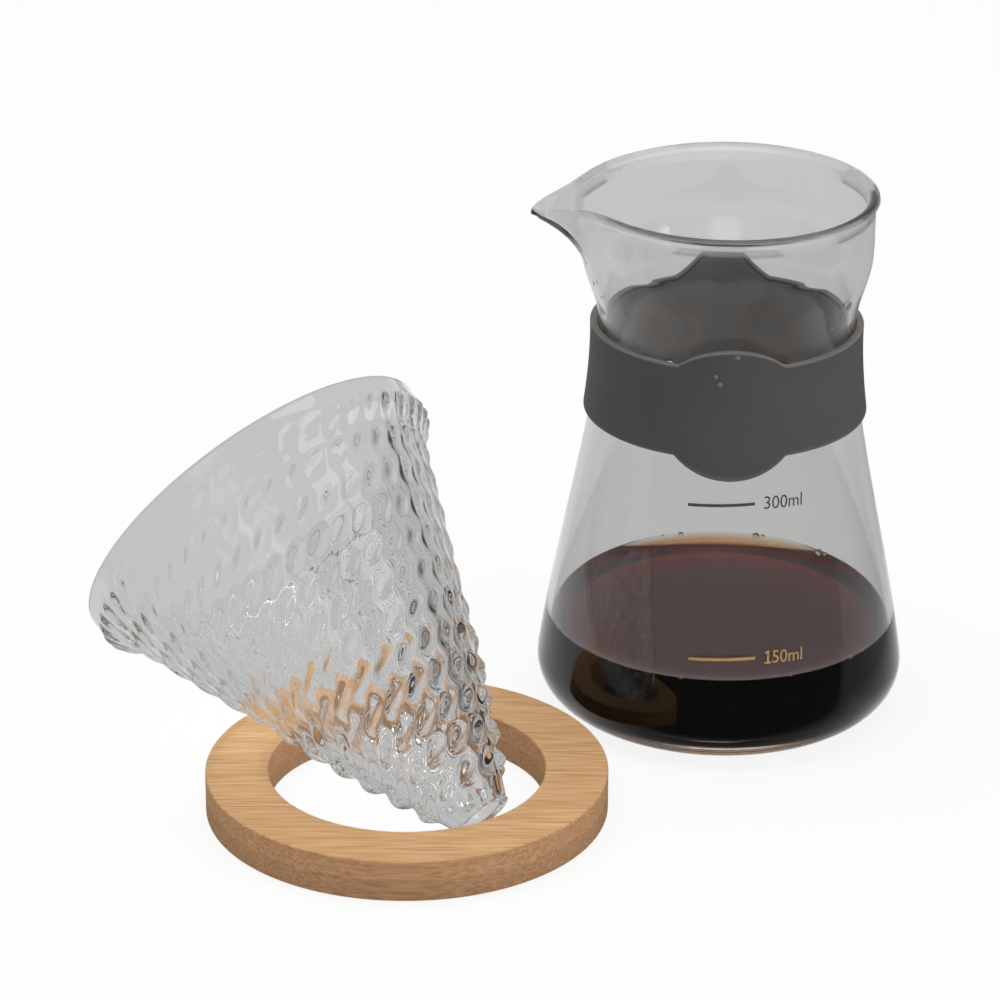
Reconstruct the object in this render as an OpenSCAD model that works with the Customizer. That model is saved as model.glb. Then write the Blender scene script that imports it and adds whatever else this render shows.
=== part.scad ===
// Pour-over coffee set as it stands on the table: a glass carafe with coffee
// in it and a silicone band round its waist, and beside it a glass dripper
// cone that leans in a bamboo ring. Millimetres, carafe foot centred on the
// origin, Z up, X to the right and Y away from the viewer.

/* [Carafe glass] */
// Height from the table to the top of the rim
carafe_h = 133.3; // [126:0.1:142]
// Radius of the flat part of the foot
foot_r = 34.7; // [32:0.1:37]
// Rounding between the foot and the wall
foot_round = 10.7; // [8:0.1:12]
// Outside radius of the waist
waist_r = 31.3; // [29.5:0.1:32.5]
// Height of the waist
waist_z = 98.5; // [95:0.1:101]
// Outside radius of the cup below its rim
cup_r = 35.05; // [34:0.05:37]
// Thickness of the glass wall
wall = 1.8; // [1.5:0.05:2.2]
// Thickness of the glass under the coffee
base_t = 2.5; // [2.2:0.1:4]
// Radius of the rounded bead along the rim
rim_bead = 1.35; // [1.2:0.05:1.6]
// Distance from the axis to the tip of the spout
spout_reach = 47.7; // [45:0.1:50]
// Half width of the spout where it leaves the rim
spout_half = 18.5; // [16:0.1:20]
// How far the lip of the spout dips below the rim
spout_dip = 1.4; // [0.8:0.1:2.4]
// Direction the spout points to, in degrees from X
spout_turn = 190; // [170:1:205]

/* [Coffee] */
// Height of the coffee's surface above the table
coffee_z = 22; // [10:0.5:60]

/* [Grip band] */
// Height of the band's lower edge
band_z = 77.5; // [75:0.1:80]
// Height of the band between its edges
band_h = 22.5; // [20:0.1:24]
// Thickness at the upper edge
band_t = 1.9; // [1.5:0.05:2.6]
// Thickness at the lower edge
band_t_low = 1.45; // [1.2:0.05:2]
// Half width of the lobes
lobe_half = 13.2; // [10:0.1:15]
// Height of the upper lobe on the front above the band
lobe_up = 4.6; // [3:0.1:5.5]
// Depth of the lower lobes under the band
lobe_down = 5.4; // [3:0.1:6.5]
// Height of the flat tab on the back above the band
tab_up = 5.2; // [3:0.1:5.5]
// Half width of the tab's flat top
tab_half = 5.3; // [4.5:0.1:8]

/* [Bamboo ring] */
// Outside radius
ring_r = 48; // [45:0.1:51]
// Radius of the hole
ring_hole_r = 33; // [31:0.1:35]
// Thickness of the two plies together
ring_h = 10.3; // [9:0.1:12]
// Place of the ring's centre to the right of the carafe
ring_x = -76.9; // [-82:0.1:-76]
// Place of the ring's centre behind the carafe
ring_y = -63.5; // [-68:0.1:-62]

/* [Dripper cone] */
// Length along the axis
cone_len = 97; // [92:0.5:101]
// Outside radius of the open tip
cone_tip_r = 7; // [6:0.1:8.5]
// Outside radius of the mouth
cone_mouth_r = 47.2; // [45:0.1:49]
// How far the wall bulges past a straight cone
cone_bow = 1.1; // [0:0.1:1.5]
// Length of the upright collar at the mouth
collar_len = 11.5; // [9:0.1:13]
// Thickness of the cone's wall
cone_wall = 2.2; // [1.8:0.05:2.8]
// Direction the mouth leans to, in degrees from X
cone_turn = 135; // [128:1:144]
// Distance of the tip from the ring's centre
cone_off = 26.2; // [24:0.1:27]
// Space left for the glass beads at the ring's edge
cone_gap = 0.9; // [0.6:0.05:1.6]
// Space left for the glass beads under the tip
cone_lift = 0.4; // [0.3:0.05:0.8]

/* [Hidden] */
fine = 64;
// running gap between the band and the glass it turns on
fit = 0.08;
// hair of air between the coffee and the glass
film = 0.05;

// points of a cubic curve with n steps
function curve(a, b, c, d, n) = [for (i = [0:n]) let (t = i / n, u = 1 - t)
    u * u * u * a + 3 * u * u * t * b + 3 * u * t * t * c + t * t * t * d];
// all points but the last
function trim(p) = [for (i = [0:len(p) - 2]) p[i]];
// points in the other order
function turned(p) = [for (i = [len(p) - 1:-1:0]) p[i]];

// the wall leans in by this slope where the foot's rounding ends
lean = 0.14;
lean_a = atan(lean);
floor_t = max(base_t, wall + 0.1);
cup_z = waist_z + 0.6 * (carafe_h - waist_z);
rim_z = carafe_h - rim_bead;
rim_c = cup_r + 0.05 - wall + 0.1 + rim_bead;

// wall from the foot to the cup, moved in by d
function wall_line(d) = let (
    p0 = [foot_r + (foot_round - d) * cos(lean_a),
        foot_round + (foot_round - d) * sin(lean_a)],
    l1 = 0.33 * (waist_z - foot_round),
    l2 = 0.265 * (waist_z - foot_round),
    l3 = 0.285 * (carafe_h - waist_z),
    l4 = 0.225 * (carafe_h - waist_z),
    w = waist_r - d,
    c = cup_r - d)
    concat(
        trim(curve(p0, p0 + l1 * [-lean, 1], [w, waist_z - l2], [w, waist_z], 9)),
        curve([w, waist_z], [w, waist_z + l3], [c - 0.05, cup_z - l4], [c, cup_z], 7));

// rounding of the foot, moved in by d, from height z up to the wall
function foot_line(d, z, n) = let (
    r = foot_round - d,
    a0 = asin((z - foot_round) / r))
    [for (i = [0:n - 1]) let (a = a0 + (lean_a - a0) * i / n)
        [foot_r + r * cos(a), foot_round + r * sin(a)]];

outer_line = concat([[foot_r, 0]], [for (p = foot_line(0, 0, 6)) if (p[1] > 0.01) p],
    wall_line(0));
inner_line = concat(foot_line(wall, floor_t, 5), wall_line(wall));
bead_line = [for (a = [-60:24:180]) [rim_c + rim_bead * cos(a), rim_z + rim_bead * sin(a)]];
outer_table = [for (p = outer_line) [p[1], p[0]]];
inner_table = [for (p = inner_line) [p[1], p[0]]];

// spout: lines along its underside and along its two flanks, d is the glass left away
spout_z0 = band_z + band_h + lobe_up + 0.8;
spout_z1 = carafe_h - spout_dip - 1.6;
spout_r0 = lookup(spout_z0, outer_table);
function under_line(d) = let (h = spout_z1 - spout_z0)
    curve([spout_r0 - d, spout_z0],
        [spout_r0 + 3.25 - 0.97 * d, spout_z0 + 0.4 * h + 0.33 * d],
        [spout_reach - 8.8 - 0.9 * d, spout_z0 + 0.78 * h + 0.66 * d],
        [spout_reach - 0.7 * d, spout_z1 + 0.85 * d], 8);
function near_line(d) = curve([30 - 0.85 * d, spout_half - 0.85 * d],
    [34.2 - 0.6 * d, spout_half * 0.66 - 0.8 * d],
    [38.5 - 0.5 * d, spout_half * 0.27 - 0.75 * d],
    [spout_reach + 1, 2 - 0.75 * d], 6);
function far_line(d) = curve([26.6 - 0.8 * d, 0.8 * d - spout_half * 1.2],
    [35.5 - 0.6 * d, 0.8 * d - spout_half * 0.77],
    [42 - 0.6 * d, 0.8 * d - spout_half * 0.34],
    [spout_reach + 1, 0.75 * d - 1.2], 6);

module spout_plan(d) {
    polygon(concat([[0, 0]], far_line(d), turned(near_line(d))));
}

module spout_solid(d, top) {
    u = under_line(d);
    e = u[len(u) - 1];
    intersection() {
        translate([0, 0, spout_z0])
            linear_extrude(height = top - spout_z0)
                spout_plan(d);
        rotate_extrude($fn = fine)
            polygon(concat([[0, spout_z0]], u, [[e[0], top], [0, top]]));
    }
}

module carafe_glass() {
    color([0.86, 0.88, 0.89, 0.35])
        rotate([0, 0, spout_turn])
            difference() {
                union() {
                    rotate_extrude($fn = fine)
                        polygon(concat([[0, 0]], outer_line, [[cup_r + 0.05, rim_z - 1.4 * rim_bead]],
                            bead_line, [[0, rim_z]]));
                    spout_solid(0, carafe_h - spout_dip);
                }
                rotate_extrude($fn = fine)
                    polygon(concat([[0, floor_t]], inner_line,
                        [[rim_c - rim_bead, rim_z], [rim_c - rim_bead, carafe_h + 4],
                        [0, carafe_h + 4]]));
                spout_solid(wall, carafe_h + 4);
            }
}

// coffee from the floor of the carafe up to its level
module brewed_coffee() {
    z0 = floor_t + film;
    mid = [for (t = inner_table) if (t[0] > z0 + 0.2 && t[0] < coffee_z - 0.2) t[0]];
    color([0.16, 0.08, 0.05])
        rotate([0, 0, spout_turn])
            rotate_extrude($fn = fine)
                polygon(concat([[0, z0]],
                    [for (z = concat([z0], mid, [coffee_z])) [lookup(z, inner_table) - film, z]],
                    [[0, coffee_z]]));
}

// band: a sleeve along the glass, cut to its edges and lobes
module band_sleeve() {
    lo = band_z - lobe_down - 1;
    hi = band_z + band_h + max(lobe_up, tab_up) + 1;
    mid = [for (t = outer_table) if (t[0] > lo + 0.3 && t[0] < hi - 0.3) t[0]];
    zs = concat([lo], mid, [hi]);
    rotate_extrude($fn = fine)
        polygon(concat(
            [for (z = zs) [lookup(z, outer_table) + fit, z]],
            [for (z = turned(zs)) let (k = (z - band_z) / band_h)
                [lookup(z, outer_table) + fit + band_t_low + (band_t - band_t_low) * k, z]]));
}

// lobe: a segment of a circle, cut along Y from the front over the given depth
module lobe(h, deep) {
    r = (lobe_half * lobe_half + h * h) / (2 * h);
    intersection() {
        translate([0, 0, h - r])
            rotate([90, 0, 0])
                cylinder(r = r, h = 120, center = true, $fn = 96);
        translate([-30, -60, -8])
            cube([60, deep, 30]);
    }
}

// tab on the back: a flat top between two hollow flanks
module tab() {
    w = lobe_half - 0.2;
    f = [for (i = [0:5]) let (k = i / 5) [w + (tab_half - w) * k, tab_up * pow(k, 1.35)]];
    translate([0, 60, 0])
        rotate([90, 0, 0])
            linear_extrude(height = 60)
                polygon(concat([[-w, -8], [w, -8]], f, [for (p = turned(f)) [-p[0], p[1]]]));
}

module grip_band() {
    color([0.27, 0.27, 0.28])
        intersection() {
            band_sleeve();
            union() {
                translate([-60, -60, band_z])
                    cube([120, 120, band_h]);
                translate([0, 0, band_z + band_h]) {
                    lobe(lobe_up, 60);
                    tab();
                }
                translate([0, 0, band_z])
                    mirror([0, 0, 1])
                        lobe(lobe_down, 120);
            }
        }
}

// ring of two glued plies
module ply(z, h) {
    translate([ring_x, ring_y, z])
        difference() {
            cylinder(r = ring_r, h = h, $fn = 96);
            translate([0, 0, -1])
                cylinder(r = ring_hole_r, h = h + 2, $fn = 96);
        }
}

module ring_upper_ply() {
    color([0.84, 0.66, 0.42])
        ply(ring_h / 2, ring_h / 2);
}

module ring_lower_ply() {
    color([0.74, 0.54, 0.32])
        ply(0, ring_h / 2);
}

// bulge of the cone's wall at a share of its length
function bulge(k) = 4 * cone_bow * k * (1 - k);
// the cone leans until its wall clears the far edge of the hole by the gap
cone_half = atan((cone_mouth_r - cone_tip_r) / cone_len);
function rest(e) = let (
    x = ring_hole_r + cone_off - cone_tip_r * sin(e),
    h = ring_h - cone_lift,
    n = sqrt(x * x + h * h))
    cone_half + atan(h / x) + asin((cone_gap + bulge(min(n * cos(cone_half) / cone_len, 1))) / n);
cone_lean = rest(rest(rest(rest(35))));

// share of the way from the leaning wall to the upright collar
function upright(k) = let (
    x = min(max((k * cone_len - cone_len + collar_len) / (collar_len / 2), 0), 1))
    x * x * (3 - 2 * x);
function cone_r(k) = let (r = cone_tip_r + (cone_mouth_r - cone_tip_r) * k + bulge(k))
    r + (cone_mouth_r - r) * upright(k);

module dripper_cone() {
    t = cone_wall / cos(cone_half);
    b = t / 2;
    start = 1 - collar_len / cone_len;
    side = concat([for (i = [0:5]) start * i / 5],
        [for (i = [1:5]) start + (1 - start) * i / 7]);
    color([0.9, 0.92, 0.93, 0.4])
        translate([ring_x - cone_off * cos(cone_turn), ring_y - cone_off * sin(cone_turn),
            cone_lift + cone_tip_r * cos(cone_lean)])
            rotate([0, 90 - cone_lean, cone_turn])
                rotate_extrude($fn = fine)
                    polygon(concat(
                        [for (k = side) [cone_r(k), (cone_len - b) * k]],
                        [for (a = [0:30:180]) [cone_mouth_r - b + b * cos(a), cone_len - b + b * sin(a)]],
                        [for (k = turned(side)) [cone_r(k) - t, (cone_len - b) * k]]));
}

carafe_glass();
brewed_coffee();
grip_band();
dripper_cone();
ring_upper_ply();
ring_lower_ply();
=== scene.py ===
import bpy
import numpy as np
from mathutils import Matrix


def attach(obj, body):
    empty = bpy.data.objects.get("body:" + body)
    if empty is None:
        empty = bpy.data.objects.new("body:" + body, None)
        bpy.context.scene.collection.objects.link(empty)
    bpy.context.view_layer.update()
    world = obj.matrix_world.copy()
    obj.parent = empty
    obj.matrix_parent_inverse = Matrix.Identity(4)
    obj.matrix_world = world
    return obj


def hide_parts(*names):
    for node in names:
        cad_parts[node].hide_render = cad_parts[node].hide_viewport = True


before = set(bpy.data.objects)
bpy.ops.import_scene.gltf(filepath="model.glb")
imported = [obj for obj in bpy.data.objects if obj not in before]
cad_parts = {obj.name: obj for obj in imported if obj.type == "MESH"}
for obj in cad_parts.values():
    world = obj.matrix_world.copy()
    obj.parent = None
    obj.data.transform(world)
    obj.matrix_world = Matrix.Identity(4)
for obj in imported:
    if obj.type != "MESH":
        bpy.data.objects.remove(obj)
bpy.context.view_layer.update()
mm = 0.001
rng = np.random.default_rng(31)
print("stage: frame loaded")


class Value:  # wraps one shader socket, so that a + b, 1 - a and so on add Math nodes
    def __init__(self, tree, socket):
        self.tree, self.socket = tree, socket

    def maths(self, operation, *others, swap=False, clamp=False):
        node = self.tree.nodes.new("ShaderNodeMath")
        node.operation, node.use_clamp = operation, clamp
        terms = [self, *others]
        if swap:
            terms.reverse()
        for slot, term in zip(node.inputs, terms):
            if isinstance(term, Value):
                self.tree.links.new(term.socket, slot)
            else:
                slot.default_value = float(term)
        return Value(self.tree, node.outputs[0])

    def __add__(self, other): return self.maths("ADD", other)
    def __radd__(self, other): return self.maths("ADD", other)
    def __sub__(self, other): return self.maths("SUBTRACT", other)
    def __rsub__(self, other): return self.maths("SUBTRACT", other, swap=True)
    def __mul__(self, other): return self.maths("MULTIPLY", other)
    def __truediv__(self, other): return self.maths("DIVIDE", other)
    def __pow__(self, other): return self.maths("POWER", other)
    def most(self, other): return self.maths("MAXIMUM", other)
    def unit(self): return self.maths("ADD", 0.0, clamp=True)  # held between 0 and 1
    def past(self, start, slope): return ((self - start) * slope).unit()  # 0 up to start, then rises to 1
    def short(self, start, slope): return ((start - self) * slope).unit()  # 0 from start on, rises to 1 below it


class Finish:  # one material or world, with a method that adds any node
    def __init__(self, owner):
        owner.use_nodes = True
        self.tree = owner.node_tree
        self.tree.nodes.clear()

    def node(self, kind, settings=None, out=0, **sockets):  # a socket is named, or numbered as in i0
        made = self.tree.nodes.new("ShaderNode" + kind)
        for name, wanted in (settings or {}).items():
            setattr(made, name, wanted)
        for name, wanted in sockets.items():
            isNumber = name[0] == "i" and name[1:].isdigit()
            socket = made.inputs[int(name[1:]) if isNumber else name.replace("_", " ")]
            if isinstance(wanted, Value):
                self.tree.links.new(wanted.socket, socket)
            else:
                socket.default_value = wanted
        return Value(self.tree, made.outputs[out])

    def surface(self, **sockets):
        return self.node("BsdfPrincipled", **sockets)

    def place(self, scale=(1, 1, 1), turn=(0, 0, 0), shift=(0, 0, 0)):  # object coordinates through a Mapping node
        spot = self.node("TexCoord", out=3)
        return self.node("Mapping", Vector=spot, Scale=scale, Rotation=turn, Location=shift)

    def axes(self, vector):  # the three parts of a vector
        split = self.tree.nodes.new("ShaderNodeSeparateXYZ")
        self.tree.links.new(vector.socket, split.inputs[0])
        return [Value(self.tree, part) for part in split.outputs]

    def rays(self):  # 1 for rays from the camera, off a mirror and through glass
        path = self.tree.nodes.new("ShaderNodeLightPath")
        names = ("Is Camera Ray", "Is Glossy Ray", "Is Transmission Ray")
        return [Value(self.tree, path.outputs[name]) for name in names]

    def attribute(self, name):
        return self.node("Attribute", {"attribute_name": name}, out=2)

    def noise(self, vector, scale, detail=3.0, rough=0.5):
        return self.node("TexNoise", Vector=vector, Scale=scale, Detail=detail, Roughness=rough)

    def blend(self, factor, first, second, how="MIX"):  # colours through a Mix node
        return self.node("Mix", {"data_type": "RGBA", "blend_type": how}, out=2, i0=factor, i6=first, i7=second)

    def bump(self, height, strength, distance):
        return self.node("Bump", Height=height, Strength=strength, Distance=distance)

    def end(self, surface, volume=None):
        output = self.tree.nodes.new("ShaderNodeOutputMaterial")
        self.tree.links.new(surface.socket, output.inputs["Surface"])
        if volume:
            self.tree.links.new(volume.socket, output.inputs["Volume"])


def linear(red, green, blue):  # a screen colour of 0 to 255 as light
    part = np.array([red, green, blue]) / 255.0
    light = np.where(part <= 0.04045, part / 12.92, ((part + 0.055) / 1.055) ** 2.4)
    return (*map(float, light), 1.0)


def newFinish(name):
    return Finish(bpy.data.materials.new(name))


def addObject(name, data):
    made = bpy.data.objects.new(name, data)
    bpy.context.collection.objects.link(made)
    return made


def stand(holder, right, up, back, place):  # sets an object's axes and place
    matrix = np.eye(4)
    matrix[:3, 0], matrix[:3, 1], matrix[:3, 2], matrix[:3, 3] = right, up, back, place
    holder.matrix_world = Matrix(matrix.tolist())


def makePiece(name, points, faces, material, body, sharp=None):
    # points is an array of places in metres, faces a list of index arrays with 3 or 4 columns
    points = np.asarray(points, float)
    corner = np.concatenate([part[:, (0, k, k + 1)] for part in faces for k in range(1, part.shape[1] - 1)])
    a, b, c = (points[corner[:, k]] for k in range(3))
    if np.einsum("ij,ij->", a, np.cross(b, c)) < 0:  # a closed shell with a negative volume is inside out
        faces = [part[:, ::-1] for part in faces]
    mesh = bpy.data.meshes.new(name)
    loops = np.concatenate([part.ravel() for part in faces])
    sizes = np.concatenate([np.full(len(part), part.shape[1]) for part in faces])
    mesh.vertices.add(len(points))
    mesh.vertices.foreach_set("co", np.asarray(points, np.float32).ravel())
    mesh.loops.add(len(loops))
    mesh.loops.foreach_set("vertex_index", loops.astype(np.int32))
    mesh.polygons.add(len(sizes))
    mesh.polygons.foreach_set("loop_start", (np.cumsum(sizes) - sizes).astype(np.int32))
    mesh.polygons.foreach_set("use_smooth", np.ones(len(sizes), bool))
    mesh.update(calc_edges=True)
    mesh.validate()
    if sharp is not None:
        mesh.set_sharp_from_angle(angle=np.radians(sharp))
    piece = addObject(name, mesh)
    mesh.materials.append(bpy.data.materials[material])
    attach(piece, body)
    return piece


def markPoints(piece, name, values):  # one number per point, for the piece's finish
    mark = piece.data.attributes.new(name, "FLOAT", "POINT")
    mark.data.foreach_set("value", np.asarray(values, np.float32))


def gridFaces(rows, cols, wrapRows=False):
    # quads of a grid whose columns close round, rows run along the profile
    r = np.arange(rows if wrapRows else rows - 1)[:, None]
    c = np.arange(cols)[None, :]
    r2, c2 = (r + 1) % rows, (c + 1) % cols
    return np.stack([r * cols + c, r * cols + c2, r2 * cols + c2, r2 * cols + c], -1).reshape(-1, 4)


def poleFaces(pole, first, cols, flip):
    # triangles from one pole point to a ring of cols points
    c = np.arange(cols)
    near, after = first + c, first + (c + 1) % cols
    pair = (after, near) if flip else (near, after)
    return np.stack([np.full(cols, pole), *pair], -1)


def closedFaces(rows, cols):  # a grid with a pole point at each end, the two poles stored after the grid
    last = rows * cols
    return [gridFaces(rows, cols), poleFaces(last, 0, cols, True), poleFaces(last + 1, last - cols, cols, False)]


def around(radius, angle, height):  # places at a radius and an angle round the Z axis
    return np.stack([radius * np.cos(angle), radius * np.sin(angle), height], -1)


def cubic(ends, count):
    # Bezier curve through four control points, given as rows
    t = np.linspace(0, 1, count)[:, None]
    a, b, c, d = np.asarray(ends, float)
    return (1 - t) ** 3 * a + 3 * (1 - t) ** 2 * t * b + 3 * (1 - t) * t * t * c + t ** 3 * d


def softStep(x):
    x = np.clip(x, 0, 1)
    return x * x * (3 - 2 * x)


# camera at the height and distance that the ring and the carafe show
viewer = {"place": (-0.054984, -1.018786, 0.500995), "down": 0.4154, "roll": 0.0039, "lens": 162.0, "sensor": 36.0}


def setCamera():
    p = viewer
    camera = bpy.data.cameras.new("viewer")
    camera.lens, camera.sensor_width, camera.clip_start = p["lens"], p["sensor"], 0.05
    ahead = np.array([0, np.cos(p["down"]), -np.sin(p["down"])])
    right = np.array([1.0, 0, 0])
    up = np.cross(right, ahead)
    c, s = np.cos(p["roll"]), np.sin(p["roll"])
    holder = addObject("viewer", camera)
    stand(holder, c * right + s * up, c * up - s * right, -ahead, p["place"])
    bpy.context.scene.camera = holder


setCamera()
print("stage: camera set")

# studio: white sweep, soft top and side lamps, pale surroundings; levels named Through are for rays bent by glass,
# and a pair of numbers is where a level starts to change and how steeply
studio = {"shown": 1.0, "diffuse": 0.50, "sideLoss": 0.85, "room": 0.07, "roomThrough": 0.45, "wall": (-0.3, 2.0),
          "rearThrough": 0.58, "roof": (0.35, 1.6), "ceiling": 0.55, "ceilingThrough": 0.95}
panel = {"level": 1.3, "facing": (-0.45, 6.0), "height": 0.24, "half": 0.17, "spacing": 5.2, "swing": 1.4,
         "dark": 0.2, "soft": 1.1}
lamps = [("topLamp", (-0.25, 0.1, 1.5), (-0.03, -0.03, 0.05), (1.3, 1.0), 11.0),
         ("rightLamp", (1.25, -0.7, 0.75), (-0.03, -0.03, 0.06), (0.8, 0.8), 5.5)]
floorLook = {"half": 4.0, "under": 0.0003, "grain": 260.0, "low": (0.90, 0.90, 0.90, 1), "high": (0.94, 0.94, 0.94, 1),
             "shown": 0.88, "through": 0.59, "farThrough": 0.80, "aheadThrough": 0.58, "far": (0.40, 12.0),
             "front": (-0.02, 30.0), "ahead": (-0.13, 20.0), "right": (0.045, 20.0), "rightLoss": 0.75,
             "left": (-0.045, 20.0), "leftLoss": 0.3}
white = (1, 1, 1, 1)


def setWorld():
    p, q = studio, panel
    world = bpy.data.worlds.new("studio")
    bpy.context.scene.world = world
    sky = Finish(world)
    camera, mirror, through = sky.rays()
    side, back, up = sky.axes(sky.node("TexCoord", out=0))
    wall = back.past(*p["wall"])  # pale sweep behind and at the sides, unlit room in front
    ceiling = p["ceiling"] + through * (p["ceilingThrough"] - p["ceiling"])
    roof = 1.0 - up.past(*p["roof"]) * (1.0 - ceiling)
    room = p["room"] + through * (p["roomThrough"] - p["room"])
    rear = 1.0 - through * (1.0 - p["rearThrough"])
    dim = (room + wall * (rear - room)) * roof
    dim = dim * (1.0 - mirror * side * side * p["sideLoss"])  # the room is darker to both sides
    height = 1.0 - ((up - q["height"]) / q["half"]) ** 2
    row = (side * q["spacing"]).maths("COSINE") * q["swing"] - q["dark"]  # soft boxes side by side
    boxes = back.short(*q["facing"]) * (height * q["soft"]).unit() * (row * q["soft"]).unit() * q["level"]
    shown, bounced = (camera + mirror + through).unit(), (mirror + through).unit()
    level = camera * p["shown"] + bounced * dim + mirror * boxes + (1.0 - shown) * p["diffuse"]
    light = sky.node("Background", Color=white, Strength=level)
    output = sky.tree.nodes.new("ShaderNodeOutputWorld")
    sky.tree.links.new(light.socket, output.inputs["Surface"])


def setLamp(name, place, aim, size, power):
    light = bpy.data.lights.new(name, "AREA")
    light.shape, light.size, light.size_y, light.energy = "RECTANGLE", size[0], size[1], power
    holder = addObject(name, light)
    back = np.array(place, float) - np.array(aim, float)
    back /= np.linalg.norm(back)
    side = np.cross([0, 1, 0.001], back)
    side /= np.linalg.norm(side)
    stand(holder, side, np.cross(back, side), back, place)
    holder.visible_glossy = False  # the soft boxes of the world are what shows in the glass


def setFloor():
    p = floorLook
    paper = newFinish("paperFloor")
    tone = paper.blend(paper.noise(paper.place(), p["grain"]), p["low"], p["high"])
    matte = paper.surface(Base_Color=tone, Roughness=0.95, Specular_IOR_Level=0.1)
    camera, mirror, through = paper.rays()
    shown = (camera + mirror + through).unit() * p["shown"]
    x, y, _ = paper.axes(paper.place())
    level = p["through"] + y.past(*p["far"]) * (p["farThrough"] - p["through"])  # lit more brightly far behind
    glow = paper.node("Emission", Color=white, Strength=1.0 - through * (1.0 - level))
    room = studio["room"] + through * (p["aheadThrough"] - studio["room"])
    unlit = paper.node("Emission", Color=white, Strength=room)
    sheet = paper.node("MixShader", i0=shown, i1=matte, i2=glow)
    beside = (x.past(*p["right"]) * p["rightLoss"]).most(x.short(*p["left"]) * p["leftLoss"])
    dark = mirror * y.short(*p["front"]).most(beside) + through * y.short(*p["ahead"])  # in front and at both sides
    paper.end(paper.node("MixShader", i0=dark.unit(), i1=sheet, i2=unlit))
    corners = np.array([(-1, -1, 0), (1, -1, 0), (1, 1, 0), (-1, 1, 0)]) * p["half"] - (0, 0, p["under"])
    mesh = bpy.data.meshes.new("floor")
    mesh.from_pydata(corners.tolist(), [], [(0, 1, 2, 3)])
    floor = addObject("floor", mesh)
    mesh.materials.append(bpy.data.materials["paperFloor"])


setWorld()
for settings in lamps:
    setLamp(*settings)
setFloor()
print("stage: studio lit")

# finishes
glassLook = {"ior": 1.47, "low": (0.90, 0.90, 0.90, 1), "high": (0.93, 0.93, 0.928, 1),
             "tint": (0.90, 0.905, 0.90, 1), "density": 60.0}
beadLook = {"ior": 1.47, "low": (0.925, 0.925, 0.922, 1), "high": (0.955, 0.955, 0.951, 1),
            "tint": (0.90, 0.905, 0.90, 1), "density": 50.0}
coffeeLook = {"ior": 1.34, "low": (0.96, 0.93, 0.90, 1), "tint": (0.82, 0.53, 0.15, 1), "density": 640.0}
wetLook = {"level": 0.0229, "climb": 0.0021, "span": 0.0856, "slope": 5000.0}  # where coffee touches the inside, m
edgeLook = {"ior": 1.1, "rim": (0.1285, 1500.0), "rimShare": 0.42, "lip": (-0.0345, 300.0), "lipFrom": (0.104, 100.0),
            "lipShare": 0.88}
bambooLook = {"turn": 0.28, "streak": (75, 1500, 1500), "broad": (12, 190, 190), "bundle": (60, 1300, 1300),
              "fibre": 0.62, "upright": (0.80, 0.745, 0.75, 1)}


def glassFinish(name, look, isCarafe=False):
    glass = newFinish(name)
    spot = glass.place()
    cloud = glass.noise(glass.place((1, 1, 0.3)), 60.0, 2.0)  # faint streaks that run down
    tone = glass.blend(cloud, look["low"], look["high"])
    rough = (cloud - 0.55).unit() * 0.012
    dent = glass.bump(glass.noise(spot, 45.0, 1.0), 0.02, 0.002)
    common = {"Base_Color": tone, "Roughness": rough, "Transmission_Weight": 1.0}
    clear = glass.surface(IOR=look["ior"], Normal=dent, **common)
    if isCarafe:
        p, q = wetLook, edgeLook
        x, y, z = glass.axes(spot)
        wet = glass.surface(IOR=look["ior"] / coffeeLook["ior"], **common)  # glass against coffee bends light less
        climb = ((y / p["span"] + 0.5) ** 2) * p["climb"] + p["level"]  # higher at the back
        under = ((climb - z) * p["slope"]).unit()
        clear = glass.node("MixShader", i0=(glass.attribute("inner") * under).unit(), i1=clear, i2=wet)
        soft = glass.surface(IOR=q["ior"], **common)  # rounded rim and drawn lip, with weaker dark edges
        rim = z.past(*q["rim"]) * q["rimShare"]
        lip = x.short(*q["lip"]) * z.past(*q["lipFrom"])
        clear = glass.node("MixShader", i0=rim.most(lip * q["lipShare"]), i1=clear, i2=soft)
    glass.end(clear, glass.node("VolumeAbsorption", Color=look["tint"], Density=look["density"]))


def coffeeFinish():
    p = coffeeLook
    brew = newFinish("brewedCoffee")
    cloud = brew.noise(brew.place(), 55.0, 4.0)
    tone = brew.blend(cloud, p["low"], white)
    skin = (cloud - 0.6).unit() * 0.02
    liquid = brew.surface(Base_Color=tone, Roughness=skin, IOR=p["ior"], Transmission_Weight=1.0)
    held = brew.surface(Base_Color=white, Roughness=0.0, IOR=1.0, Transmission_Weight=1.0)
    free = brew.attribute("free")  # 1 on the open surface, 0 against the glass
    liquid = brew.node("MixShader", i0=free.unit(), i1=held, i2=liquid)
    brew.end(liquid, brew.node("VolumeAbsorption", Color=p["tint"], Density=p["density"]))


def siliconeFinish():
    rubber = newFinish("greySilicone")
    spot = rubber.place()
    fine = rubber.noise(spot, 2600.0, 3.0)
    cloud = rubber.noise(spot, 70.0, 4.0)
    edge = rubber.attribute("edge")
    tone = rubber.blend(cloud, linear(78, 78, 79), linear(86, 86, 86))
    tone = rubber.blend(edge.unit(), tone, linear(132, 128, 124))  # painted highlight: the upper edge, and faintly the lower corners, made paler as if catching the light from above
    tone = rubber.blend((edge - 1.0).unit(), tone, linear(86, 72, 64))  # brown line under it
    tone = rubber.blend((0.0 - edge).unit(), tone, linear(168, 166, 165))  # painted light: the face against the glass made paler, to lift it out of the shade behind the glass
    dust = rubber.noise(spot, 900.0, 2.0).past(0.70, 6.0) * 0.2
    tone = rubber.blend(dust, tone, linear(120, 118, 116))
    rough = 0.62 + cloud * 0.16
    grain = rubber.bump(fine, 0.25, 0.0002)
    rubber.end(rubber.surface(Base_Color=tone, Roughness=rough, Specular_IOR_Level=0.38, Normal=grain))


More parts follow.
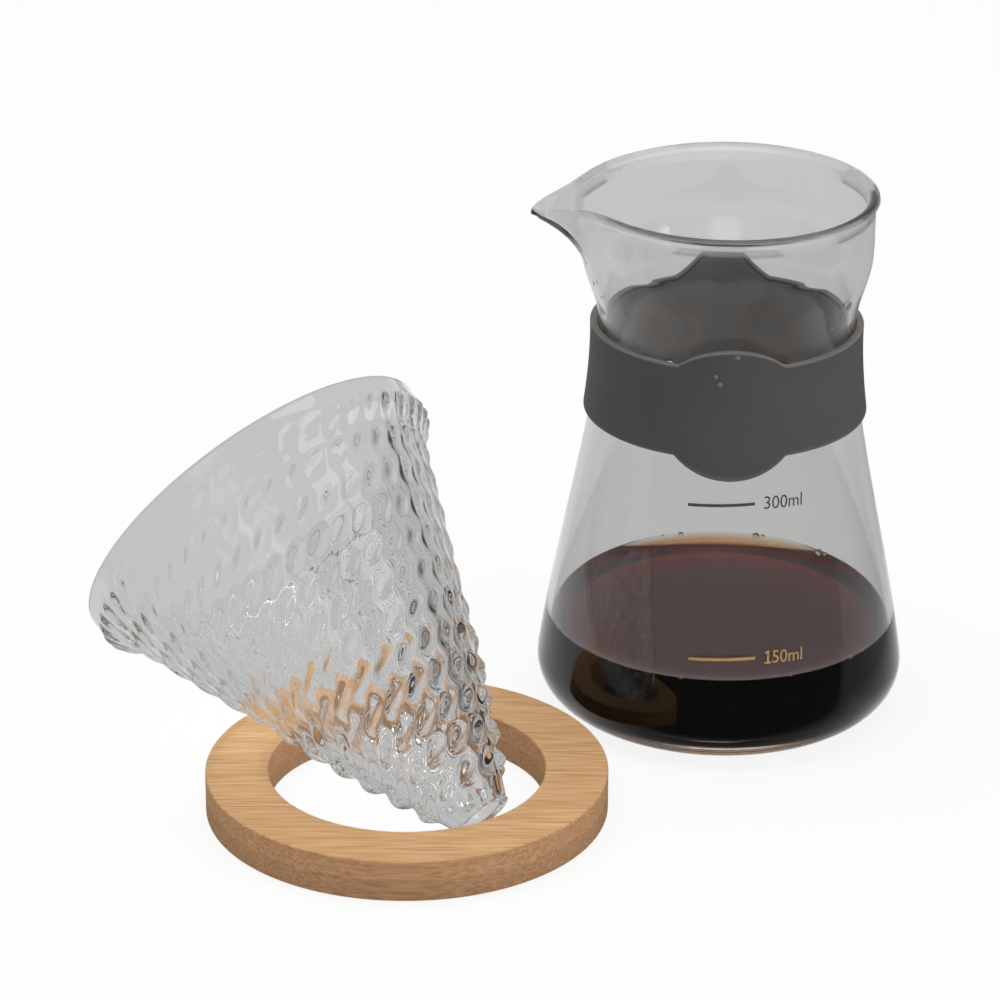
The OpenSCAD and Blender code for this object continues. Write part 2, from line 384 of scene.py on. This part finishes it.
def bambooFinish(name, shift, pale, deep, bundleTone):
    p = bambooLook
    wood = newFinish(name)
    turn = (0, 0, p["turn"])  # X runs along the fibres
    streak = wood.noise(wood.place(p["streak"], turn, shift), 1.0, 3.0, 0.6)
    broad = wood.noise(wood.place(p["broad"], turn, shift), 1.0, 2.0)
    bundle = wood.node("TexVoronoi", {"feature": "F1"}, Vector=wood.place(p["bundle"], turn, shift), Scale=1.0)
    fibre = (1.0 - bundle * 2.0).unit()  # vascular bundles: long along X, dots where they are cut across
    tone = wood.blend(streak.past(0.36, 3.2), deep, pale)
    tone = wood.blend(broad.past(0.40, 2.6) * 0.45, tone, deep)
    tone = wood.blend(fibre * p["fibre"], tone, bundleTone)
    upright = 1.0 - wood.axes(wood.node("TexCoord", out=1))[2].maths("ABSOLUTE")  # from the normal
    tone = wood.blend(upright.unit(), tone, p["upright"], "MULTIPLY")  # painted shade: the sides darkened against the top by the normal's tilt, with a slightly browner tone
    rough = 0.50 + streak * 0.22
    dent = wood.bump(streak * 0.6 - fibre * 0.5, 0.22, 0.0003)
    wood.end(wood.surface(Base_Color=tone, Roughness=rough, Specular_IOR_Level=0.3, Normal=dent))


def inkFinish():
    ink = newFinish("goldInk")
    speck = ink.noise(ink.place(), 700.0, 3.0)
    high = ink.axes(ink.place())[2].past(0.045, 60.0)  # painted shade: the upper mark is darkened
    bright = ink.blend(speck, linear(176, 136, 82), linear(212, 172, 112))
    shadedInk = ink.blend(speck, linear(66, 60, 58), linear(112, 94, 80))
    tone = ink.blend(high, bright, shadedInk)
    ink.end(ink.surface(Base_Color=tone, Roughness=0.34 + speck * 0.2, Metallic=0.1))


def waterFinish(name, low, high, clear):
    water = newFinish(name)
    speck = water.noise(water.place(), 500.0)
    tone = water.blend(speck, low, high)
    rough = ((speck - 0.6) * 0.1).unit()
    water.end(water.surface(Base_Color=tone, Roughness=rough, IOR=1.33, Transmission_Weight=clear))


glassFinish("clearGlass", glassLook, isCarafe=True)
glassFinish("beadedGlass", beadLook)
coffeeFinish()
siliconeFinish()
bambooFinish("bambooUpper", (0.031, 0.004, 0.0), linear(228, 188, 142), linear(204, 156, 106), linear(166, 112, 66))
bambooFinish("bambooLower", (0.213, 0.0117, 0.4), linear(214, 176, 132), linear(190, 148, 104), linear(156, 112, 72))
inkFinish()
waterFinish("waterDrop", (0.50, 0.49, 0.48, 1), (0.66, 0.65, 0.64, 1), 0.72)
waterFinish("coffeeFoam", (0.90, 0.86, 0.80, 1), (0.98, 0.96, 0.93, 1), 0.85)
print("stage: finishes made")

# carafe: hourglass of glass with a drawn lip, mm and degrees
carafe = {"height": 133.3, "footR": 34.7, "footRound": 10.7, "footEnd": 8, "cornerSpan": 74, "cornerThick": 2.9,
          "waistR": 31.3, "waistZ": 98.5, "cupR": 35.05, "cupShare": 0.6, "lean": 0.14, "sidePull": (0.33, 0.265),
          "bowlPull": (0.285, 0.225), "flare": 0.05, "wall": 1.8, "base": 4.7, "bead": 1.35, "beadIn": 0.3,
          "columns": 264, "crowd": 0.58}
spout = {"turn": 190.0, "low": 105.4, "high": 131.95, "reach": 12.75, "reachIn": 11.7, "dip": 1.3, "dipFrom": 118,
         "dipOver": 12, "lean": 1.5, "flankNear": 8.8, "flankFar": 14.5, "flankBlend": 14, "narrowIn": 0.8,
         "widen": 15.0, "early": 0.1, "lateFrom": 0.42, "lateOver": 0.55, "endsAt": 75, "endsOver": 38}


def carafeWall(depth, count=56, corner=0.0):
    # foot arc, long side and cup as one line of radius and height, moved in by depth (mm), from the foot's edge
    # upwards; corner is the extra depth at the foot's lower corner
    p = carafe
    degrees = np.linspace(-90, p["footEnd"], 16)
    bend = p["footRound"] - depth - corner * softStep((p["footEnd"] - degrees) / p["cornerSpan"])
    angle = np.radians(degrees)
    foot = np.stack([p["footR"] + bend * np.cos(angle), p["footRound"] + bend * np.sin(angle)], -1)
    low, high = p["waistZ"] - p["footRound"], p["height"] - p["waistZ"]
    waist, cup = np.array([p["waistR"] - depth, p["waistZ"]]), p["cupR"] - depth
    cupZ = p["waistZ"] + p["cupShare"] * high
    start = foot[-1]
    (pullA, pullB), (pullC, pullD) = p["sidePull"], p["bowlPull"]
    side = cubic([start, start + pullA * low * np.array([-p["lean"], 1]), waist - (0, pullB * low), waist], count)
    bowl = cubic([waist, waist + (0, pullC * high), (cup - p["flare"], cupZ - pullD * high), (cup, cupZ)], 22)
    return np.concatenate([foot, side[1:], bowl[1:]])


def carafeRadius(height):  # outer radius at a height, mm
    line = carafeWall(0.0, 200)
    return np.interp(height, line[:, 1], line[:, 0])


def spoutPull(turn, height, inner):
    # outward pull (mm) of the lip: a rounded peak in angle times a growth in height; inner is 1 on the inside
    p = spout
    t = np.clip((height - p["low"]) / (p["high"] - p["low"]), 0, 1)
    late = np.clip((t - p["lateFrom"]) / p["lateOver"], 0, 1) ** 1.6
    growth = p["early"] * t ** 0.7 + (1 - p["early"]) * late
    away = turn - p["lean"]
    flank = p["flankNear"] + (p["flankFar"] - p["flankNear"]) * softStep(0.5 - away / p["flankBlend"])
    width = flank - p["narrowIn"] * inner + p["widen"] * (1 - t) ** 1.2
    peak = (1 + (away / width) ** 2) ** -1.25 * softStep((p["endsAt"] - np.abs(away)) / p["endsOver"])
    return ((1 - inner) * p["reach"] + inner * p["reachIn"]) * growth * peak, peak * growth


def makeCarafe():
    p = carafe
    outer, inner = carafeWall(0.0), carafeWall(p["wall"], corner=p["cornerThick"])
    beadAt = np.array([p["cupR"] - p["beadIn"], p["height"] - p["bead"]])
    upto = np.linspace(outer[-1, 1], beadAt[1] - 0.4, 14)[1:]
    outer = np.concatenate([outer, np.stack([np.full(13, p["cupR"] + p["flare"]), upto], -1)])
    inner = np.concatenate([inner, np.stack([np.full(13, p["cupR"] - p["wall"]), upto], -1)])
    sweep = np.radians(np.linspace(0, 180, 15))
    bead = beadAt + p["bead"] * np.stack([np.cos(sweep), np.sin(sweep)], -1)
    flat = np.linspace(0.12, 1, 7)[:-1, None]
    bottom = np.concatenate([flat * p["footR"], 0 * flat], -1)
    keep = inner[:, 1] > p["base"]
    floorR = np.interp(p["base"], inner[:, 1], inner[:, 0])
    floor = np.concatenate([flat * floorR, 0 * flat + p["base"]], -1)
    inside = np.concatenate([[(floorR, p["base"])], inner[keep]])
    line = np.concatenate([bottom, outer, bead, inside[::-1], floor[::-1]])
    isInner = np.concatenate([np.zeros(len(bottom) + len(outer)), softStep(np.linspace(0, 1, len(bead))),
                              np.ones(len(inside) + len(floor))])
    rows, cols = len(line), p["columns"]
    u = np.arange(cols) / cols * 2 - 1
    turn = 180 * ((1 - p["crowd"]) * u + p["crowd"] * u ** 3)  # columns crowd together at the lip
    pull, lift = spoutPull(turn[None, :], line[:, 1:2], isInner[:, None])
    dip = spout["dip"] * lift ** 2 * softStep((line[:, 1:2] - spout["dipFrom"]) / spout["dipOver"])
    angle = np.radians(turn + spout["turn"])[None, :]
    points = around(line[:, 0:1] + pull, angle, line[:, 1:2] - dip).reshape(-1, 3)
    points = np.concatenate([points, [(0, 0, 0), (0, 0, p["base"])]]) * mm
    piece = makePiece("carafe_shell", points, closedFaces(rows, cols), "clearGlass", "carafe")
    markPoints(piece, "inner", np.append(np.repeat(isInner, cols), [0, 1]))
    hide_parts("carafe_glass")


makeCarafe()
print("stage: carafe made")

# coffee: fills the foot, a little into the wall so that no air shows between
coffee = {"level": 22.0, "into": 0.1, "side": 18.0, "meniscus": (0.9, 3.0), "creep": 2.3, "columns": 160}


def coffeeClimb(angle):  # how far the coffee climbs the wall, mm: least at the front, most at the back
    front, back = coffee["meniscus"]
    return front + (back - front) * ((1 + np.sin(angle)) / 2) ** 2


def makeCoffee():
    # wall line up to a fixed height, then stretched rows up to the meniscus, which falls off inwards
    p = coffee
    wall = carafeWall(carafe["wall"] - p["into"], 90, carafe["cornerThick"])
    low = carafe["base"] - p["into"]
    lowR = np.interp(low, wall[:, 1], wall[:, 0])
    share = np.linspace(0.08, 1, 10)[:-1, None]
    fixed = wall[(wall[:, 1] > low) & (wall[:, 1] < p["side"])]
    line = np.concatenate([np.concatenate([share * lowR, 0 * share + low], -1), [(lowR, low)], fixed])
    angle = np.linspace(0, 2 * np.pi, p["columns"], endpoint=False)[None, :]
    climb = coffeeClimb(angle)
    upper = p["side"] + np.linspace(0, 1, 8)[:, None] * (p["level"] + climb - p["side"])
    contact = np.interp(upper, wall[:, 1], wall[:, 0])
    gap = np.concatenate([np.linspace(0, 6, 22), np.linspace(7, contact[-1].min() * 0.96, 12)])[:, None]
    top = p["level"] + climb * np.exp(-gap / p["creep"])
    radius = np.concatenate([line[:, 0:1] + 0 * angle, contact, contact[-1:] - gap])
    height = np.concatenate([line[:, 1:2] + 0 * angle, upper, top])
    rows, cols = height.shape
    points = around(radius, angle, height).reshape(-1, 3)
    points = np.concatenate([points, [(0, 0, low), (0, 0, p["level"])]]) * mm
    piece = makePiece("coffee_fill", points, closedFaces(rows, cols), "brewedCoffee", "carafe", sharp=50)
    isFree = np.repeat(np.arange(rows) >= rows - len(top), cols)
    markPoints(piece, "free", np.append(isFree, [False, True]))
    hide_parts("brewed_coffee")


makeCoffee()
print("stage: coffee poured")

# grip band: sleeve of silicone round the waist, lobes up and down on the front, a tab up and a lobe down on the back
band = {"low": 77.5, "high": 22.5, "thickTop": 1.9, "thickLow": 1.45, "fit": 0.08, "half": 13.2, "up": 4.6, "down": 5.4,
        "tabUp": 5.2, "tabTop": 5.3, "tabBase": 13.0, "turn": 269.6, "round": 0.4}


def lobe(arc, rise):  # height of a circle's segment with the lobe's chord and rise, at an arc length from its middle
    half = band["half"]
    radius = (half ** 2 + rise ** 2) / (2 * rise)
    return np.sqrt(np.maximum(radius ** 2 - np.minimum(np.abs(arc), half) ** 2, 0)) - (radius - rise)


def tab(arc):  # height of the back's tab: a flat top between hollow flanks
    share = np.clip((band["tabBase"] - np.abs(arc)) / (band["tabBase"] - band["tabTop"]), 0, 1)
    return band["tabUp"] * share ** 1.35


def makeBand():
    p = band
    mid = carafe["waistR"] + p["thickTop"]
    corner = np.degrees(p["half"] / mid)
    near = np.concatenate([np.linspace(-corner, corner, 61)[:-1], np.linspace(corner, 180 - corner, 60)[:-1]])
    turn = np.concatenate([near, near + 180])
    arc = np.radians((turn + 90) % 180 - 90) * mid
    isBack = (turn > 90) & (turn < 270)
    high = p["low"] + p["high"] + np.where(isBack, tab(arc), lobe(arc, p["up"]))
    low = p["low"] - lobe(arc, p["down"])
    # cross-section, a rectangle with rounded corners: share of the thickness, share of the height, mm added to each,
    # and the edge value that the finish reads
    bend = np.radians(np.linspace(0, 90, 6))
    r, c, s = p["round"], 1 - np.cos(bend), 1 - np.sin(bend)
    flat = np.linspace(0, 1, 24)[1:-1]
    none, zero, full = 0 * flat, np.zeros(6), np.ones(6)
    # the last column is the edge value the finish reads: painted highlight along the top edge and faintly the lower
    # corners, the brown line at the top's outer corner, and painted light on the face against the glass (-1)
    section = np.concatenate([np.stack(part, -1) for part in (
        (none, flat[::-1], none, none, none - 1.0),
        (zero, zero, r * c, r * s, zero + 0.3),
        (full, zero, -r * s, r * c, zero + 0.3),
        (1 + none, flat, none, none, none),
        (full, full, -r * c, -r * s, np.array([0, 1.6, 1.3, 1.0, 1.0, 1.0])),
        (zero, full, r * s, -r * c, np.array([1.0, 1.0, 1.0, 1.0, 0.7, 0.3])))])
    through, share, addT, addZ, edge = (section[:, k:k + 1] for k in range(5))
    z = low[None, :] + share * (high - low)[None, :] + addZ
    rise = np.clip((z - p["low"]) / p["high"], -0.3, 1.25)
    thick = p["thickLow"] + (p["thickTop"] - p["thickLow"]) * rise
    radius = carafeRadius(z) + p["fit"] + through * thick + addT
    points = around(radius, np.radians(turn + p["turn"])[None, :], z)
    rows, cols = points.shape[:2]
    faces = [gridFaces(rows, cols, wrapRows=True)]
    piece = makePiece("band_sleeve", points.reshape(-1, 3) * mm, faces, "greySilicone", "band")
    markPoints(piece, "edge", np.repeat(edge.ravel(), cols))
    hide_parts("grip_band")


makeBand()
print("stage: band fitted")

# printed marks on the side of the carafe: a line and a figure each, as (words, height, line's middle, figure's start, tilt)
marks = {"line": 16.1, "thick": 0.72, "lift": 0.05, "size": 5.05, "tall": 0.88, "ink": 0.05, "facing": 266.9,
         "wide": 9.9, "narrow": 1.05, "figureTilt": 0.03,
         "rows": [("300ml", 65.9, -0.15, 10.2, 0.036), ("150ml", 28.6, 0.9, 11.2, 0.026)]}
one = {"wide": 2.05, "stem": (0.95, 0.46, -0.08, 3.17, 0.0, 4), "foot": (0.85, 1.6, -1.46, 0.42, 0.0, 6),
       "flag": (0.56, 0.8, 1.12, 0.44, 0.5, 6)}  # bars of the figure one: across, width, up, thickness, tilt, columns


def onWall(across, height, lift):
    # flat places (mm across from the facing line, mm up along the height) wrapped onto the outer wall
    radius = carafeRadius(height)
    return around(radius + lift, np.radians(marks["facing"]) + across / radius, height)


def makeBar(name, centre, wide, height, thick, tilt, cols=33):
    # bar of ink: four corner lines wrapped onto the wall, closed at both ends
    x, side = np.linspace(-0.5, 0.5, cols), np.array([[-1, 0], [1, 0], [1, 1], [-1, 1]])
    across = centre + wide * x[None, :] + 0 * side[:, :1]
    up = height + 0.5 * thick * side[:, :1] + tilt * across
    points = onWall(across, up, marks["lift"] + marks["ink"] * side[:, 1:] + 0 * x[None, :])
    r, c = np.arange(4)[:, None], np.arange(cols - 1)[None, :]
    r2 = (r + 1) % 4
    quads = np.stack([r * cols + c, r * cols + c + 1, r2 * cols + c + 1, r2 * cols + c], -1).reshape(-1, 4)
    ends = np.array([[0, cols, 2 * cols, 3 * cols], [4 * cols - 1, 3 * cols - 1, 2 * cols - 1, cols - 1]])
    piece = makePiece(name, points.reshape(-1, 3) * mm, [quads, ends], "goldInk", "carafe", sharp=30)


def letterMesh(words):  # flat mesh of the words, from the left edge on and centred in height
    letters = bpy.data.curves.new("letters", "FONT")
    letters.body, letters.size = words, marks["size"]
    letters.extrude, letters.resolution_u = marks["ink"] * 0.5, 4
    holder = addObject("letters", letters)
    bpy.context.view_layer.update()
    mesh = bpy.data.meshes.new_from_object(holder.evaluated_get(bpy.context.evaluated_depsgraph_get()))
    bpy.data.objects.remove(holder)
    flat = np.empty(len(mesh.vertices) * 3)
    mesh.vertices.foreach_get("co", flat)
    flat = flat.reshape(-1, 3)
    flat[:, 0] -= flat[:, 0].min()
    flat[:, 1] = (flat[:, 1] - 0.5 * flat[:, 1].max()) * marks["tall"]
    return mesh, flat


def makeMarks():
    p = marks
    for words, height, centre, begin, tilt in p["rows"]:
        makeBar("mark_line_" + words, centre, p["line"], height, p["thick"], tilt)
        level, shift = height + tilt * begin, 0.0
        if words[0] == "1":  # the one has a stem, a foot and a flag
            shift = one["wide"]
            for part in ("stem", "foot", "flag"):
                across, wide, up, thick, lean, cols = one[part]
                middle = begin + across
                makeBar("mark_" + part + "_" + words, middle, wide, level + up - lean * middle, thick, lean, cols)
        mesh, flat = letterMesh(words[1:] if shift else words)
        along = shift + flat[:, 0] * (p["wide"] - p["narrow"] * shift) / flat[:, 0].max()
        up = level + flat[:, 1] - p["figureTilt"] * along
        placed = onWall(begin + along, up, p["lift"] + p["ink"] * 0.5 + flat[:, 2]) * mm
        mesh.vertices.foreach_set("co", placed.ravel())
        mesh.materials.clear()
        mesh.materials.append(bpy.data.materials["goldInk"])
        mesh.update()
        piece = addObject("mark_figure_" + words, mesh)
        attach(piece, "carafe")


makeMarks()
print("stage: marks printed")

# drops of water on the band and the glass as (turn, height, radius), bubbles at the coffee's edge as (turn, radius)
drops = {"band": [(271.75, 103.5, 0.75), (263.0, 98.25, 0.6), (264.75, 96.25, 0.7)],
         "carafe": [(327.25, 110.5, 1.25), (199.0, 113.5, 0.6), (203.0, 110.6, 0.45), (318.0, 106.0, 0.4)],
         "bubbles": [(102.0, 0.7), (74.0, 0.9), (71.5, 0.5), (48.0, 0.9), (45.5, 0.5), (196.75, 0.7), (199.0, 0.4),
                     (254.75, 0.5), (291.5, 0.4), (316.75, 0.5)],
         "small": 26, "smallSize": (0.16, 0.32), "flatten": 0.35, "rings": 7, "turns": 10}


def blobs(centres, out, radii, flatten):
    # unit spheres of rings by turns, scaled by radii and pressed flat along their outward direction
    rings, turns = drops["rings"], drops["turns"]
    up = np.cross(out, np.cross([0.0, 0.0, 1.0], out) + [0.0, 1e-6, 0.0])
    up /= np.linalg.norm(up, axis=-1, keepdims=True)
    side = np.cross(up, out)
    polar = np.linspace(0, np.pi, rings + 2)[1:-1][:, None]
    angle = np.linspace(0, 2 * np.pi, turns, endpoint=False)[None, :]
    ball = around(np.sin(polar), angle, np.cos(polar) + 0 * angle).reshape(-1, 3)
    ball = np.concatenate([ball, [(0, 0, 1), (0, 0, -1)]])
    x, y, z = (ball[:, k:k + 1] for k in range(3))
    size = np.asarray(radii)[:, None, None]
    reach = x * side[:, None, :] + y * up[:, None, :] + flatten * z * out[:, None, :]
    points = centres[:, None, :] + size * reach
    shift = (np.arange(len(centres)) * len(ball))[:, None, None]
    quads, *caps = closedFaces(rings, turns)
    return points.reshape(-1, 3), [(quads + shift).reshape(-1, 4), (np.concatenate(caps) + shift).reshape(-1, 3)]


def makeDrops():
    p = drops
    for body, extra in (("band", band["thickTop"] + band["fit"]), ("carafe", 0.0)):
        turn, height, size = np.array(p[body]).T
        out = around(1.0, np.radians(turn), 0 * turn)
        centres = around(carafeRadius(height) + extra, np.radians(turn), height)
        points, faces = blobs(centres, out, size, p["flatten"])
        piece = makePiece("drops_" + body, points * mm, faces, "waterDrop", body)
    many = np.stack([rng.uniform(0, 360, p["small"]), rng.uniform(*p["smallSize"], p["small"])], -1)
    turn, size = np.concatenate([p["bubbles"], many]).T
    height = coffee["level"] + coffeeClimb(np.radians(turn))
    inner = carafeRadius(height) - carafe["wall"] - 0.8 * size
    centres = around(inner, np.radians(turn), height - 0.3 * size)
    points, faces = blobs(centres, np.tile([0.0, 0.6, 0.8], (len(turn), 1)), size, 1.0)
    piece = makePiece("coffee_bubbles", points * mm, faces, "coffeeFoam", "carafe")


makeDrops()
print("stage: drops set")

# dripper cone: pressed glass with rows of round beads outside, smooth inside
cone = {"tip": (-58.374, -82.026, 6.154), "axis": (-0.58123, 0.58123, 0.5695), "length": 97.0, "tipR": 7.0,
        "mouthR": 47.2, "bow": 0.8, "wall": 2.2, "collar": 11.5, "columns": 440, "steps": 186}
beads = {"pitchRound": 6.45, "start": 77.0, "firstRow": 9.0, "pitchAlong": 7.0, "pitchGrowth": 0.0085, "rows": 12,
         "high": 0.84, "tipHigh": 1.15, "tipEnds": 42.0, "tipSoft": 4.0, "groove": 0.34, "neck": 0.34, "neckFrom": 18,
         "neckOver": 14, "waist": 0.1, "sway": 0.13, "plain": 3, "fadeOver": 4, "seam": 3.0}


def beadHeight(along, turn, radius):
    # beads stand on rows along the cone, whose pitch grows towards the mouth, and at equal arcs counted from one line;
    # a bead is a squared cosine both ways, and a narrower, lower neck joins it to the next row, so columns are wavy ribs
    p = beads
    arc = np.radians((turn - p["start"] + 180) % 360 - 180) * radius
    grown = p["pitchAlong"] + p["pitchGrowth"] * along
    v = np.log(grown / (p["pitchAlong"] + p["pitchGrowth"] * p["firstRow"])) / p["pitchGrowth"]
    row = np.clip(np.round(v), 0, p["rows"] - 1)
    u = arc / p["pitchRound"] + p["sway"] * np.sin(2 * np.pi * v)
    dip = np.sin(np.pi * np.clip(v - row, -0.5, 0.5)) ** 2
    off = np.abs(u - np.round(u)) / (0.5 - p["waist"] * dip)
    neck = p["neck"] * softStep((along - p["neckFrom"]) / p["neckOver"])
    dome = (1 - (1 - neck) * dip) * np.cos(np.pi / 2 * np.clip(off, 0, 1)) ** 2
    fade = softStep((cone["length"] - p["plain"] - along) / p["fadeOver"])
    seam = softStep((np.pi * radius - np.abs(arc)) / p["seam"])  # the mould's seam stays plain
    rise = p["high"] + p["tipHigh"] / (1 + np.exp((along - p["tipEnds"]) / p["tipSoft"]))
    return (rise * dome - p["groove"]) * seam * fade


def makeCone():
    p = cone
    axis = np.array(p["axis"]) / np.linalg.norm(p["axis"])
    right = np.cross(axis, [0, 0, 1])
    right /= np.linalg.norm(right)
    upward = np.cross(right, axis)
    slope = (p["mouthR"] - p["tipR"]) / p["length"]
    lean = np.array([np.cos(np.arctan(slope)), -np.sin(np.arctan(slope))])  # outward, along the axis
    half = p["wall"] / 2
    # round the ends with half circles, so the shell is one closed loop of profile points: (radius, along)
    s = np.linspace(half, p["length"] - half, p["steps"])
    share = s / p["length"]
    wide = p["tipR"] + slope * s + 4 * p["bow"] * share * (1 - share)
    wide += (p["mouthR"] - wide) * softStep((s - p["length"] + p["collar"]) / (p["collar"] / 2))  # upright collar
    middle = np.stack([wide, s], -1) - half * lean
    lip = np.arctan2(lean[1], lean[0]) + np.radians(np.linspace(0, 180, 9))[1:-1]
    endMouth = middle[-1] + half * np.stack([np.cos(lip), np.sin(lip)], -1)
    endTip = middle[0] - half * np.stack([np.cos(lip), np.sin(lip)], -1)
    inside = (middle - half * lean)[::-7]
    line = np.concatenate([middle + half * lean, endMouth, inside, endTip])
    isOut = np.concatenate([np.ones(len(s)), np.zeros(len(line) - len(s))])[:, None]
    turn = np.linspace(0, 360, p["columns"], endpoint=False)[None, :]
    rise = isOut * beadHeight(line[:, 1:2], turn, line[:, 0:1])
    radius = line[:, 0:1] + rise * lean[0]
    along = line[:, 1:2] + rise * lean[1]
    points = np.array(p["tip"]) + around(radius, np.radians(turn), along) @ np.stack([right, upward, axis])
    faces = [gridFaces(len(line), p["columns"], wrapRows=True)]
    piece = makePiece("cone_beaded", points.reshape(-1, 3) * mm, faces, "beadedGlass", "dripper")
    piece.visible_shadow = False  # clear glass lets the lamps through
    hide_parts("dripper_cone")


makeCone()
print("stage: cone pressed")

# bamboo ring: two plies with a glue seam between
ring = {"centre": (-76.9, -63.5), "radius": 48.0, "hole": 33.0, "high": 10.3, "edge": 0.45, "seam": 0.12, "gap": 0.01,
        "columns": 192}


def makePly(name, low, high, edgeLow, edgeHigh, material, node):
    # rectangle of the ring's cross-section with rounded corners, carried round the ring's axis
    p = ring
    corners = [(p["radius"] - edgeLow, low + edgeLow, edgeLow), (p["radius"] - edgeHigh, high - edgeHigh, edgeHigh),
               (p["hole"] + edgeHigh, high - edgeHigh, edgeHigh), (p["hole"] + edgeLow, low + edgeLow, edgeLow)]
    bend = np.radians(np.linspace(0, 90, 7))
    line = []
    for quarter, (radius, height, edge) in enumerate(corners):
        angle = bend + np.radians(90 * quarter - 90)
        line.append((radius, height) + edge * np.stack([np.cos(angle), np.sin(angle)], -1))
    dense = []
    for first, second in zip(line, line[1:] + line[:1]):  # a few more rows along the flat stretches
        dense += [first, first[-1] + (second[0] - first[-1]) * np.linspace(0, 1, 8)[1:-1, None]]
    line = np.concatenate(dense)
    angle = np.linspace(0, 2 * np.pi, p["columns"], endpoint=False)[None, :]
    points = around(line[:, 0:1], angle, line[:, 1:2] + 0 * angle) + (*p["centre"], 0)
    faces = [gridFaces(len(line), p["columns"], wrapRows=True)]
    piece = makePiece(name, points.reshape(-1, 3) * mm, faces, material, "ring", sharp=35)
    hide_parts(node)


def makeRing():
    p = ring
    half, seam, edge = p["high"] / 2, p["seam"], p["edge"]
    makePly("ply_upper", half + p["gap"], p["high"], seam, edge, "bambooUpper", "ring_upper_ply")
    makePly("ply_lower", 0.0, half - p["gap"], edge, seam, "bambooLower", "ring_lower_ply")


makeRing()
print("stage: ring glued")

bpy.context.scene.view_settings.view_transform = "Standard"
paths = bpy.context.scene.cycles
paths.max_bounces, paths.transmission_bounces, paths.glossy_bounces = 40, 40, 20  # beaded glass turns a ray many times
